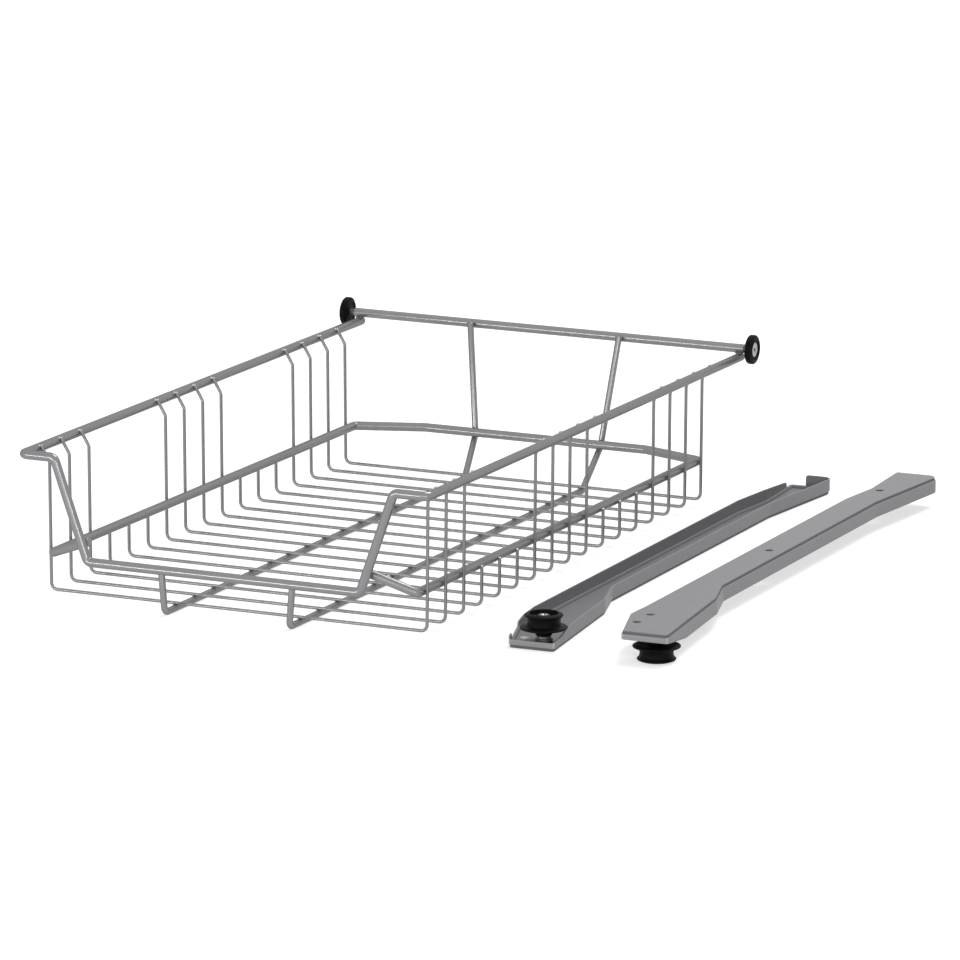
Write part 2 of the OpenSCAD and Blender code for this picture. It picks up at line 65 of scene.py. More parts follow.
# Shader maths: a socket with the operators that the finishes use.
class Val:
    def __init__(self, maker, socket):
        self.maker = maker
        self.socket = socket

    def math(self, operation, other=None):
        inputs = {0: self} if other is None else {0: self, 1: other}
        return self.maker.node("ShaderNodeMath", {"operation": operation}, inputs)

    def __add__(self, other):
        return self.math("ADD", other)

    def __radd__(self, other):
        return self.math("ADD", other)

    def __sub__(self, other):
        return self.math("SUBTRACT", other)

    def __rsub__(self, other):
        return self.maker.node("ShaderNodeMath", {"operation": "SUBTRACT"}, {0: other, 1: self})

    def __mul__(self, other):
        return self.math("MULTIPLY", other)

    def __rmul__(self, other):
        return self.math("MULTIPLY", other)


class Finish:
    # a material, its node tree and its Principled shader
    def __init__(self, name):
        self.material = bpy.data.materials.new(name)
        self.material.use_nodes = True
        self.tree = self.material.node_tree
        self.shader = self.tree.nodes["Principled BSDF"]

    def node(self, kind, settings=None, inputs=None, output=0):
        made = self.tree.nodes.new(kind)
        for key, value in (settings or {}).items():
            if key == "ramp":
                stops = made.color_ramp.elements
                while len(stops) < len(value):
                    stops.new(0.5)
                for stop, (place, shade) in zip(stops, value):
                    stop.position = place
                    stop.color = (shade, shade, shade, 1)
            else:
                setattr(made, key, value)
        for key, value in (inputs or {}).items():
            self.feed(made.inputs[key], value)
        return Val(self, made.outputs[output])

    def feed(self, socket, value):
        if isinstance(value, Val):
            self.tree.links.new(value.socket, socket)
        else:
            socket.default_value = value

    def set(self, **values):
        for key, value in values.items():
            self.feed(self.shader.inputs[key.replace("_", " ")], value)

    def place(self):
        return self.node("ShaderNodeTexCoord", output="Object")

    def axes(self, vector):
        split = self.node("ShaderNodeSeparateXYZ", {}, {0: vector}).socket.node
        return [Val(self, socket) for socket in split.outputs]

    def noise(self, scale, detail=3, rough=0.5):
        return self.node("ShaderNodeTexNoise", {}, {
            "Vector": self.place(), "Scale": scale, "Detail": detail, "Roughness": rough})

    def ramp(self, value, stops):
        return self.node("ShaderNodeValToRGB", {"ramp": stops}, {0: value})

    def mixColour(self, factor, one, two):
        return self.node("ShaderNodeMix", {"data_type": "RGBA"},
                         {"Factor": factor, 6: one, 7: two}, output=2)

    def attribute(self, name):
        return self.node("ShaderNodeAttribute", {"attribute_name": name}, output="Fac")

    def bump(self, height, strength, depth):
        return self.node("ShaderNodeBump", {}, {"Height": height, "Strength": strength, "Distance": depth})


def grey(value, blue=1.0):
    return (value, value, value * blue, 1)


coating = {
    "colour": 0.26, "blue": 1.03, "dark": 0.15, "bare": 0.75, "tipBareAndHighlight": 0.8,
    "metal": 0.5, "gloss": 0.2, "sheen": 0.15, "rim": 0.25, "markDull": 0.15,
    "mottle": 0.03, "mottleScale": 140, "cloudScale": 18, "cloudShare": 0.4, "cloudDull": 0.06,
    "peel": 0.04, "peelScale": 500, "peelDepth": 0.01 * mm,
}
railCoating = dict(coating, colour=0.262, blue=1.05, dark=0.13, metal=0.2, gloss=0.42)  # duller, on sheet


def makeCoating(name, values):
    # silver coating on steel: fine mottling, slight orange peel, a darker patch round the runners' welds,
    # painted shade in the rails' pressed steps, holes and channel insides; bare steel at a wire's cut end
    # lightened as a painted highlight, and painted highlights at the rails' lip corners and holes
    f = Finish(name)
    mottle = f.noise(values["mottleScale"], detail=4, rough=0.6)
    cloud = f.noise(values["cloudScale"], detail=2)
    darkMask = f.attribute("shade")
    blotch = mottle * (1 - values["cloudShare"]) + cloud * values["cloudShare"]
    blue = values["blue"]
    base = f.mixColour(f.ramp(blotch, [(0.3, 0.0), (0.7, 1.0)]),
                       grey(values["colour"] * (1 - values["mottle"]), blue),
                       grey(values["colour"] * (1 + values["mottle"]), blue))
    # painted shade on the rails and a plain darker patch round the runners' welds
    darkened = f.mixColour(darkMask, base, grey(values["dark"], blue))
    # bare steel at the wires' cut ends, and painted highlights there and on the rails
    f.set(Base_Color=f.mixColour(f.attribute("bare"), darkened, grey(values["bare"])),
          Metallic=values["metal"],
          Specular_IOR_Level=values["sheen"], Specular_Tint=grey(values["rim"]),
          Roughness=(cloud - 0.5) * values["cloudDull"] + values["gloss"] + darkMask * values["markDull"],
          Normal=f.bump(f.noise(values["peelScale"], detail=2), values["peel"], values["peelDepth"]))
    return f.material


plastic = {
    "colour": 0.0035, "worn": 0.007, "gloss": 0.4, "bending": 1.13,  # bending is the index of refraction
    "rubScale": 120, "rubDull": 0.12, "grain": 0.1, "grainScale": 1500, "grainDepth": 0.02 * mm,
}


def makePlastic(values):
    # black moulding with a fine grain, a little lighter where it is rubbed
    f = Finish("blackPlastic")
    rub = f.noise(values["rubScale"])
    f.set(Base_Color=f.mixColour(f.ramp(rub, [(0.4, 0.0), (0.75, 1.0)]),
                                 grey(values["colour"]), grey(values["worn"])),
          Roughness=values["gloss"] + rub * values["rubDull"], IOR=values["bending"],
          Normal=f.bump(f.noise(values["grainScale"]), values["grain"], values["grainDepth"]))
    return f.material


zinc = {
    "colour": 0.42, "blue": 1.02, "dimmer": 0.3, "metal": 0.9, "gloss": 0.3,
    "brush": 0.2, "brushScale": 700, "brushDull": 0.2, "brushDepth": 0.04 * mm,
}


def makeZinc(values):
    f = Finish("brightZinc")
    brush = f.noise(values["brushScale"], detail=4)
    f.set(Base_Color=f.mixColour(brush, grey(values["dimmer"]), grey(values["colour"], values["blue"])),
          Metallic=values["metal"], Roughness=brush * values["brushDull"] + values["gloss"],
          Normal=f.bump(brush, values["brush"], values["brushDepth"]))
    return f.material


weldMetal = {
    "colour": 0.2, "burnt": 0.13, "clean": 0.6, "metal": 0.4, "gloss": 0.45,
    "burn": 0.4, "burnScale": 500, "burnDull": 0.15, "burnDepth": 0.2 * mm,
}


def makeWeldMetal(values):
    # dark where it is burnt, with a painted highlight on the beads that carry it
    f = Finish("weldBead")
    burn = f.noise(values["burnScale"])
    dark = f.mixColour(burn, grey(values["colour"]), grey(values["burnt"]))
    # painted highlight colour on the beads at the wires' tips
    f.set(Base_Color=f.mixColour(f.attribute("clean"), dark, grey(values["clean"])),
          Metallic=values["metal"], Roughness=values["gloss"] + burn * values["burnDull"],
          Normal=f.bump(burn, values["burn"], values["burnDepth"]))
    return f.material


rivetMetal = {
    "colour": 0.13, "dimmer": 0.85, "bright": 0.7, "deep": 0.008, "star": 2.6, "slit": 0.5, "metal": 0.6,
    "gloss": 0.34, "brush": 0.2, "brushScale": 700, "brushDull": 0.15, "brushDepth": 0.04 * mm,
}


def makeRivetMetal(name, centre, faceStart, values):
    # dull steel; the spread end is dark, with four bright petals at its middle
    f = Finish(name)
    brush = f.noise(values["brushScale"], detail=4)
    x, y, z = f.axes(f.node("ShaderNodeVectorMath", {"operation": "SUBTRACT"}, {0: f.place(), 1: centre}))
    inStar = (x * x + y * y).math("SQRT").math("LESS_THAN", values["star"] * mm)
    besideAxes = x.math("ABSOLUTE").math("MINIMUM", y.math("ABSOLUTE"))
    petals = inStar * besideAxes.math("GREATER_THAN", values["slit"] * mm)
    steel = f.mixColour(brush, grey(values["colour"] * values["dimmer"]), grey(values["colour"]))
    face = f.mixColour(petals, grey(values["deep"]), grey(values["bright"]))
    onFace = z.math("ABSOLUTE").math("GREATER_THAN", faceStart)
    f.set(Base_Color=f.mixColour(onFace, steel, face), Metallic=values["metal"],
          Roughness=brush * values["brushDull"] + values["gloss"],
          Normal=f.bump(brush, values["brush"], values["brushDepth"]))
    return f.material


wireCoat = makeCoating("wireCoating", coating)
railCoat = makeCoating("railCoating", railCoating)
blackPlastic = makePlastic(plastic)
brightZinc = makeZinc(zinc)
weldBead = makeWeldMetal(weldMetal)
print("finishes made")


def finishPiece(name, mesh, material, body, nodes=()):
    piece = bpy.data.objects.new(name, mesh)
    bpy.context.scene.collection.objects.link(piece)
    mesh.materials.clear()
    mesh.materials.append(material)
    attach(piece, body)
    if nodes:
        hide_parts(*nodes)


class Tree:
    # a Geometry Nodes tree with named inputs
    def __init__(self, name, inputs):
        self.tree = bpy.data.node_groups.new(name, "GeometryNodeTree")
        face = self.tree.interface
        face.new_socket("Geometry", in_out="INPUT", socket_type="NodeSocketGeometry")
        for label, kind in inputs:
            face.new_socket(label, in_out="INPUT", socket_type=kind)
        face.new_socket("Geometry", in_out="OUTPUT", socket_type="NodeSocketGeometry")
        self.start = self.tree.nodes.new("NodeGroupInput")
        self.end = self.tree.nodes.new("NodeGroupOutput")

    def node(self, kind, settings=None, inputs=None):
        made = self.tree.nodes.new(kind)
        for key, value in (settings or {}).items():
            setattr(made, key, value)
        for key, value in (inputs or {}).items():
            if isinstance(value, bpy.types.NodeSocket):
                self.tree.links.new(value, made.inputs[key])
            else:
                made.inputs[key].default_value = value
        return made.outputs[0]

    def given(self, label):
        return self.start.outputs[label]

    def attribute(self, name, kind="FLOAT"):
        return self.node("GeometryNodeInputNamedAttribute", {"data_type": kind}, {"Name": name})

    def smooth(self, geometry, domain="FACE", smooth=True, **selection):
        return self.node("GeometryNodeSetShadeSmooth", {"domain": domain}, {
            "Geometry": geometry, "Shade Smooth": smooth, **selection})

    def finish(self, geometry, material):
        # instances made real and the material set, as the last two steps
        real = self.node("GeometryNodeRealizeInstances", {}, {"Geometry": geometry})
        done = self.node("GeometryNodeSetMaterial", {}, {"Geometry": real, "Material": material})
        self.tree.links.new(done, self.end.inputs["Geometry"])
        return self.tree


def runTree(tree, mesh, values, name):
    # the tree's result on a mesh, as a plain mesh; the helper object goes
    holder = bpy.data.objects.new(mesh.name, mesh)
    bpy.context.scene.collection.objects.link(holder)
    bound = holder.modifiers.new("shape", "NODES")
    bound.node_group = tree
    for item in tree.interface.items_tree:
        if item.item_type == "SOCKET" and item.in_out == "INPUT" and item.name in values:
            bound[item.identifier] = values[item.name]
    bpy.context.view_layer.update()
    graph = bpy.context.evaluated_depsgraph_get()
    made = bpy.data.meshes.new_from_object(holder.evaluated_get(graph))
    made.name = name
    bpy.data.objects.remove(holder)
    return made


def setAttribute(mesh, name, values):
    data = mesh.attributes.new(name, "FLOAT", "POINT").data
    for i, value in enumerate(values):
        data[i].value = value


def makeRodTree(sharpAngle=0.9):
    # a round rod along the mesh's edges, with a fillet at each corner
    t = Tree("bentRod", [
        ("Bend Steps", "NodeSocketInt"), ("Sides", "NodeSocketInt"), ("Coating", "NodeSocketMaterial")])
    curve = t.node("GeometryNodeMeshToCurve", {}, {"Mesh": t.given("Geometry")})
    bent = t.node("GeometryNodeFilletCurve", {"mode": "POLY"}, {
        "Curve": curve, "Count": t.given("Bend Steps"), "Radius": t.attribute("bendRadius"),
        "Limit Radius": True})
    ring = t.node("GeometryNodeCurvePrimitiveCircle", {"mode": "RADIUS"}, {
        "Resolution": t.given("Sides"), "Radius": 1.0})
    rod = t.node("GeometryNodeCurveToMesh", {}, {
        "Curve": bent, "Profile Curve": ring, "Scale": t.attribute("rodRadius"), "Fill Caps": True})
    angle = t.node("GeometryNodeInputMeshEdgeAngle")
    crisp = t.node("FunctionNodeCompare", {"operation": "GREATER_THAN"}, {"A": angle, "B": sharpAngle})
    edged = t.smooth(t.smooth(rod), "EDGE", False, Selection=crisp)
    return t.finish(edged, t.given("Coating"))


rodTree = makeRodTree()

rodEnds = {  # (way in from the tip, share of the thickness), both in radii
    "tip": [(0.0, 0.3), (0.06, 0.55), (0.2, 0.8), (0.42, 0.95), (0.7, 1.0)],
    "sawn": [(0.0, 0.8), (0.12, 0.95), (0.3, 1.0)],
    "domed": [(1 - math.cos(a), math.sin(a)) for a in (0.12, 0.35, 0.65, 1.0, 1.3, math.pi / 2)],
}
bareAndHighlightReach = 0.5  # how far in from a wire's tip the steel is bare and lightened as a painted highlight, in radii


def endRows(tip, into, radius, kind):
    rows = []
    for way, share in rodEnds[kind]:
        # bare steel at a wire's tip, lightened further as a painted highlight
        bare = coating["tipBareAndHighlight"] if kind == "tip" and way < bareAndHighlightReach else 0.0
        rows.append((tip + into * (way * radius), radius * share, 0, bare))
    return rows


def rodRows(points, radius, bends, kind):
    # (place, radius, bend radius, bareness with painted highlight) along the rod, which is thinned towards
    # its ends
    head = endRows(points[0], (points[1] - points[0]).normalized(), radius, kind)
    tail = endRows(points[-1], (points[-2] - points[-1]).normalized(), radius, kind)
    middle = [(p, radius, bend * mm, 0.0) for p, bend in zip(points[1:-1], bends)]
    return head + middle + tail[::-1]


weldDarkening = {
    "places": (-1, -0.55, -0.15, 0.15, 0.55, 1), "near": 2.5,  # both in reaches
    "bendClear": 1.2, "endClear": 0.8 * mm, "apart": 0.2 * mm, "strength": 1.6,
}


def withStops(rows, spots, reach):
    # extra rows beside each weld, so that the darker patch round it has vertices to hold it
    out = []
    for one, two in zip(rows, rows[1:]):
        out.append(one)
        run = two[0] - one[0]
        way = run.normalized()
        first = one[2] * weldDarkening["bendClear"] + weldDarkening["endClear"]
        last = run.length - two[2] * weldDarkening["bendClear"] - weldDarkening["endClear"]
        offsets = [spot - one[0] for spot in spots]
        hits = sorted(offset.dot(way) for offset in offsets
                      if (offset - way * offset.dot(way)).length < reach * weldDarkening["near"])
        for hit in hits:
            for place in weldDarkening["places"]:
                at = hit + place * reach
                clear = at > (out[-1][0] - one[0]).dot(way) + weldDarkening["apart"]
                if first < at < last and clear:
                    out.append((one[0] + way * at, two[1], 0, 0.0))
    return out + [rows[-1]]


def darkenWelds(mesh, spots, reach):
    # a dark patch in the coating round each weld, kept in an attribute
    nearest = [min((vertex.co - spot).length for spot in spots) for vertex in mesh.vertices]
    setAttribute(mesh, "shade", [max(0.0, min(1.0, weldDarkening["strength"] * (1 - d / reach))) for d in nearest])


def makeRod(name, node, points, diameter, bends, kind="tip", sides=20, steps=8, spots=(), reach=0.0):
    if not isinstance(bends, list):
        bends = [bends] * (len(points) - 2)
    rows = rodRows(points, diameter / 2 * mm, bends, kind)
    if spots:
        rows = withStops(rows, spots, reach)
    line = bpy.data.meshes.new(name + "Line")
    line.from_pydata([row[0] for row in rows], [(i, i + 1) for i in range(len(rows) - 1)], [])
    for column, label in ((1, "rodRadius"), (2, "bendRadius"), (3, "bare")):
        setAttribute(line, label, [row[column] for row in rows])
    mesh = runTree(rodTree, line, {"Bend Steps": steps, "Sides": sides, "Coating": wireCoat}, name)
    for spare in ("bendRadius", "rodRadius"):
        if spare in mesh.attributes:
            mesh.attributes.remove(mesh.attributes[spare])
    if spots:
        darkenWelds(mesh, spots, reach)
    finishPiece(name, mesh, wireCoat, "basket", [node])


wire = {
    "count": 17, "thick": 2.5, "pitch": 30.5, "floorWidth": 308.4, "lean": 0.65, "bendHeight": 96,
    "tipX": 161.9, "tipZ": 107.9, "shortX": 154.4, "shortZ": 30.1,
    "floorRadius": 5, "tipRadius": 4,
    "repeat": 7, "tallFirst": 3, "short": 3,  # of every seven wires the fourth to the sixth are short
}


def isShort(i):
    return wire["tallFirst"] <= i % wire["repeat"] < wire["tallFirst"] + wire["short"]


def wirePath(i):
    y = i * wire["pitch"]
    half = wire["floorWidth"] / 2
    if isShort(i):
        side = [(wire["shortX"], y, wire["shortZ"])]
    else:
        side = [(wire["tipX"], y, wire["tipZ"]), (half + wire["lean"], y, wire["bendHeight"])]
    return bothSides(side + [(half, y, 0)])


for i in range(wire["count"]):
    bends = [wire["floorRadius"]] * 2
    if not isShort(i):
        bends = [wire["tipRadius"], *bends, wire["tipRadius"]]
    makeRod(f"crossWire{i + 1:02d}", f"cross_wire_{i + 1:02d}", wirePath(i), wire["thick"], bends,
            sides=16, steps=6)
print("cross wires made")

topFrame = {
    "thick": 7, "width": 330.6, "height": 105.2, "front": 22.7, "end": 541.6,
    "lip": 26.7, "dipWidth": 223, "dipHeight": 29.2, "radius": 5,
}
frameSide = topFrame["width"] / 2
frameHalf = [
    (frameSide, topFrame["end"], topFrame["height"]),
    (frameSide, -topFrame["front"], topFrame["height"]),
    (frameSide - topFrame["lip"], -topFrame["front"], topFrame["height"]),
    (topFrame["dipWidth"] / 2, -topFrame["front"], topFrame["dipHeight"]),
]
makeRod("topFrame", "top_frame", bothSides(frameHalf), topFrame["thick"], topFrame["radius"],
        kind="domed", sides=32, steps=12)

ring = {
    "thick": 7, "x": 149.6, "height": 29.3, "front": 6.9, "back": 494.1, "cutWidth": 53.8, "cutBack": 512.9,
    "endX": 113.6, "endY": -16.1, "endHeight": 43.2, "radius": 4.3,
}
ringHalf = [
    (ring["endX"], ring["endY"], ring["endHeight"]),
    (ring["x"], -ring["front"], ring["height"]),
    (ring["x"], ring["back"], ring["height"]),
    (ring["x"] - ring["cutWidth"], ring["cutBack"], ring["height"]),
]
makeRod("middleRing", "middle_ring", bothSides(ringHalf), ring["thick"], ring["radius"],
        kind="sawn", sides=32, steps=12)

runner = {
    "thick": 5, "x": 51.1, "frontLean": 2.8, "midLean": 3.4, "topLean": 13.6,
    "frontY": -16.65, "frontZ": 30.7, "floorZ": -3.8, "backY": 491.6,
    "mid": (518.74, 26.63), "top": (530.22, 113.95), "radius": 4.5, "darkReach": 3.2,
}


def runnerPath(side):
    x = runner["x"]
    path = [
        (x + runner["frontLean"], runner["frontY"], runner["frontZ"]),
        (x, runner["frontY"], runner["floorZ"]),
        (x, runner["backY"], runner["floorZ"]),
        (x + runner["midLean"], *runner["mid"]),
        (x + runner["topLean"], *runner["top"]),
    ]
    return [inBasket(side * px, py, pz) for px, py, pz in path]


for word, side in (("Left", -1), ("Right", 1)):
    crossings = [inBasket(side * runner["x"], i * wire["pitch"], runner["floorZ"] + runner["thick"] / 2)
                 for i in range(wire["count"])]
    makeRod("runner" + word, "runner_" + word.lower(), runnerPath(side), runner["thick"], runner["radius"],
            kind="sawn", sides=24, steps=10, spots=crossings, reach=runner["darkReach"] * mm)
print("frame, ring and runners made")


def arc(corner, before, after, radius, steps):
    # points of a flat fillet from the side towards one neighbour to the side towards the other
    a, b = (before - corner).normalized(), (after - corner).normalized()
    half = a.angle(b) / 2
    cut = radius / math.tan(half)
    centre = corner + (a + b).normalized() * (radius / math.sin(half))
    start, end = corner + a * cut - centre, corner + b * cut - centre
    turn = math.atan2(start.x * end.y - start.y * end.x, start.dot(end))
    points = []
    for k in range(steps + 1):
        s, c = math.sin(turn * k / steps), math.cos(turn * k / steps)
        points.append(centre + Vector((start.x * c - start.y * s, start.x * s + start.y * c)))
    return points


def roundCorners(corners, steps):
    # (r, z, rounding) corners of a profile to points; a rounding takes at most half of each side
    points = []
    for i, (r, z, rounding) in enumerate(corners):
        corner = Vector((r, z))
        if not rounding:
            points.append(corner)
            continue
        before, after = Vector(corners[i - 1][:2]), Vector(corners[(i + 1) % len(corners)][:2])
        half = (before - corner).angle(after - corner) / 2
        room = min((before - corner).length, (after - corner).length) * 0.49
        points += arc(corner, before, after, min(rounding, room * math.tan(half)), steps)
    return points


def placedMesh(bm, name, place, sharpAngle):
    # a mesh in mm put in its place, faces outwards, smooth but for edges sharper than the angle
    bmesh.ops.transform(bm, verts=bm.verts, matrix=place @ Matrix.Scale(mm, 4))
    bmesh.ops.recalc_face_normals(bm, faces=bm.faces)
    for face in bm.faces:
        face.smooth = True
    for edge in bm.edges:
        edge.smooth = not (edge.is_manifold and edge.calc_face_angle() > math.radians(sharpAngle))
    mesh = bpy.data.meshes.new(name)
    bm.to_mesh(mesh)
    bm.free()
    return mesh


def lathe(name, corners, place, segments=96, steps=5):
    # a closed profile of (r, z, rounding) corners in mm, turned round its z axis, then placed
    bm = bmesh.new()
    profile = roundCorners(corners, steps)
    onAxis = [p.x < 1e-6 for p in profile]
    rings = []
    for s in range(segments):
        a = 2 * math.pi * s / segments
        rings.append([bm.verts.new((p.x * math.cos(a), p.x * math.sin(a), p.y)) for p in profile])
    count = len(profile)
    for s in range(segments):
        one, two = rings[s], rings[(s + 1) % segments]
        for i in range(count):
            j = (i + 1) % count
            if not (onAxis[i] and onAxis[j]):
                bm.faces.new((one[i], one[j], two[j], two[i]))
    bmesh.ops.remove_doubles(bm, verts=bm.verts, dist=1e-6)
    return placedMesh(bm, name, place, sharpAngle=35)


axle = {"thick": 7, "length": 339.6, "y": 536.1, "z": 112.25, "neck": 5, "neckEnd": 177.2, "wheelX": 176.1}


def onAxle(x, side=1):
    # a place on the axle's line, with z pointing outwards on that side
    turn = Matrix.Rotation(side * math.pi / 2, 4, "Y")
    return Matrix.Translation(inBasket(x, axle["y"], axle["z"])) @ turn


def axleProfile():
    radius, neck, half, end = axle["thick"] / 2, axle["neck"] / 2, axle["length"] / 2, axle["neckEnd"]
    return [
        (0, -end, 0), (neck, -end, 0.4), (neck, -half, 0.2), (radius, -half, 0.6),
        (radius, half, 0.6), (neck, half, 0.2), (neck, end, 0.4), (0, end, 0),
    ]


finishPiece("rearAxle", lathe("rearAxle", axleProfile(), onAxle(0), 48), wireCoat,
            "basket", ["rear_axle"])

wheel = {
    "r": 11.5, "half": 3, "tread": 3.7, "face": 8.5, "bore": 2.55, "discR": 6.15, "discDepth": 2.2,
    "grooveIn": 6.9, "grooveOut": 8.0, "grooveDepth": 0.45,
    "backIn": 5.6, "backOut": 8.0, "backSlope": 0.4, "backDepth": 0.7,  # ring pressed in the inner face
}
disc = {
    "r": 5.85, "t": 1.2, "hole": 1.5, "sunk": 0.7,
    "dishOut": 1.2, "dishIn": 0.7, "dishDepth": 0.25,  # dish round the hole, measured from the hole's edge
}


def wheelProfile():
    w = wheel
    out, tread = w["half"], w["tread"] / 2
    backFloor, grooveFloor, discFloor = w["backDepth"] - out, out - w["grooveDepth"], out - w["discDepth"]
    return [
        (w["bore"], -out, 0.2), (w["backIn"], -out, 0.25), (w["backIn"] + w["backSlope"], backFloor, 0.25),
        (w["backOut"] - w["backSlope"], backFloor, 0.25), (w["backOut"], -out, 0.25),
        (w["face"], -out, 0.5), (w["r"], -tread, 0.8), (w["r"], tread, 0.8), (w["face"], out, 0.5),
        (w["grooveOut"], out, 0.15), (w["grooveOut"], grooveFloor, 0.15),
        (w["grooveIn"], grooveFloor, 0.15), (w["grooveIn"], out, 0.15),
        (w["discR"], out, 0.2), (w["discR"], discFloor, 0.1), (w["bore"], discFloor, 0.1),
    ]


def discProfile():
    d = disc
    top = wheel["half"] - d["sunk"]
    dish = top - d["dishDepth"]
    return [
        (d["hole"], top - d["t"], 0), (d["r"], top - d["t"], 0.2), (d["r"], top, 0.45),
        (d["hole"] + d["dishOut"], top, 0.4), (d["hole"] + d["dishIn"], dish, 0.3), (d["hole"], dish, 0.1),
    ]


for word, side in (("Left", -1), ("Right", 1)):
    spot = onAxle(side * axle["wheelX"], side)
    node = "wheel_" + word.lower()
    finishPiece("wheel" + word, lathe("wheel" + word, wheelProfile(), spot), blackPlastic,
                node, [node])
    finishPiece("hubDisc" + word, lathe("hubDisc" + word, discProfile(), spot), brightZinc,
                "basket", ["hub_disc_" + word.lower()])
print("axle and wheels made")

rail = {
    "length": 578, "sheet": 1.2, "flange": 12.2, "frontFlange": 6.4, "tabHeight": 8.4, "tabLength": 12,
    "track": 27.1, "screwLine": 14.3, "padStep": 2.2, "padInset": 1, "noseLow": 36.9, "noseHigh": 0.5,
    "shoulderAt": 52, "shoulderOut": 1, "upperStraight": 80, "noseEnd": 123, "noseOut": 11, "neckEnd": 162,
    "drop": 106, "dropLow": 9.8, "dropHigh": 4.5, "tail": 11, "tailHigh": 3.4, "stopEnd": 0,
    "cornerRadius": 3, "noseRadius": 14, "dropRadius": 40, "tailBend": 10, "tailRadius": 8,
    "highRadius": 30, "shoulderRadius": 6, "leastRadius": 0.35,
    "lowRise": 45, "highLead": 1, "highRise": 28, "riseKnee": 1 / 3, "kneeShare": 0.6,
    "highTail": 7.8, "highTailBack": 13, "freeCorner": 2.2, "edgeEase": 0.18, "edgeDrop": 0.12,
    "ridge": 0.15, "leastRise": 0.2,  # above the web: where the flange is cut away, and at its ends
    "screws": (30, 55, 282, 509), "screwRadius": 3.15, "screwEase": 0.18, "screwSides": 36,
    "yaw": 1.27, "rollerLow": 20.3, "rollerFront": 18.6, "rollerEnd": 23.9,
    "glint": 0.5, "glintReach": 1.3, "glintDepth": 0.2, "holeGlint": 0.9, "insideShade": 0.45,
}
stationGap = 4  # the outline's straight stretches are split into steps of at least this length
stationsAtEnd = (-2.4, -1.5, -0.8, -0.3, -0.02, 0.02, 0.3, 0.8, 1.5, 2.4)  # round a flange's free end


def railCorners():
    r = rail
    low, high = r["track"] - r["screwLine"], -r["screwLine"]
    tailY = r["length"] - r["tail"]
    dropY = tailY - r["drop"] + r["dropLow"]
    return [
        (r["noseHigh"], 0, r["cornerRadius"]), (r["noseLow"], 0, r["cornerRadius"]),
        (low + r["noseOut"], r["noseEnd"], r["noseRadius"]), (low, r["neckEnd"], r["noseRadius"]),
        (low, dropY, r["dropRadius"]), (low + r["dropLow"], tailY, r["tailBend"]),
        (low + r["dropLow"], r["length"], r["tailRadius"]),
        (high + r["dropHigh"] - r["tailHigh"], r["length"], r["cornerRadius"]),
        (high + r["dropHigh"], tailY - r["drop"] / 2, r["highRadius"]), (high, dropY, r["dropRadius"]),
        (high, r["upperStraight"], r["highRadius"]),
        (high - r["shoulderOut"], r["shoulderAt"], r["shoulderRadius"]),
    ]


def insetLoop(depth, steps=6):
    # the rail's outline moved inwards by depth, with the same number of points at any depth
    corners = railCorners()
    places = [Vector(corner[:2]) for corner in corners]
    moved, radii = [], []
    for i, place in enumerate(places):
        a = (place - places[i - 1]).normalized()
        b = (places[(i + 1) % len(places)] - place).normalized()
        n1, n2 = Vector((-a.y, a.x)), Vector((-b.y, b.x))
        moved.append(place + (n1 + n2) * (depth / (1 + n1.dot(n2))))
        turnsIn = a.x * b.y - a.y * b.x > 0
        radii.append(max(rail["leastRadius"], corners[i][2] - depth if turnsIn else corners[i][2] + depth))
    points = []
    for i, place in enumerate(moved):
        points += arc(place, moved[i - 1], moved[(i + 1) % len(moved)], radii[i], steps)
    return points


def flangeHeight(place, tab):
    # height of the flange over a place on the outline; None where it is cut away
    r = rail
    x, y = place
    front, full = r["frontFlange"], r["flange"]
    highStart, highEnd = r["shoulderAt"] - r["highLead"], r["length"] - r["highTailBack"]
    if y > r["length"] - 2 * r["tailRadius"] and x > r["stopEnd"]:
        return full
    if x > r["noseHigh"]:
        share = min(1, max(0, y - r["sheet"]) / (r["lowRise"] - r["sheet"]))
        return front + (full - front) * share
    if y < r["tabLength"]:
        return tab
    if highStart < y < highEnd:
        way = min(1, (y - highStart) / r["highRise"])
        knee, share = r["riseKnee"], r["kneeShare"]
        rise = way * share / knee if way < knee else share + (way - knee) * (1 - share) / (1 - knee)
        fallStart = r["length"] - r["tail"] - r["drop"] / 2
        fall = max(0, (y - fallStart) / (highEnd - fallStart))
        return front + (full - front) * rise - (full - r["highTail"]) * fall
    return None


def flangeEnd(a, b, start, stop, tab):
    # the share of the way from a to b, between two shares, where the flange starts or stops, or None
    def cutAway(share):
        return flangeHeight(a.lerp(b, share), tab) is None

    before = cutAway(start)
    if before == cutAway(stop):
        return None
    for _ in range(24):  # halves the stretch each time
        middle = (start + stop) / 2
        if cutAway(middle) == before:
            start = middle
        else:
            stop = middle
    return start


def stations(outline, tab):
    # (index, share) places along the outline, close together where the flange starts or stops
    places = []
    for i, a in enumerate(outline):
        b = outline[(i + 1) % len(outline)]
        length = (b - a).length
        steps = max(1, int(length / stationGap))
        shares = [k / steps for k in range(steps)]
        for k in range(steps):
            end = flangeEnd(a, b, k / steps, (k + 1) / steps, tab)
            if end is not None:
                shares += [end + d / length for d in stationsAtEnd if 0 < end + d / length < 1]
        places += [(i, share) for share in sorted(set(shares))]
    return places


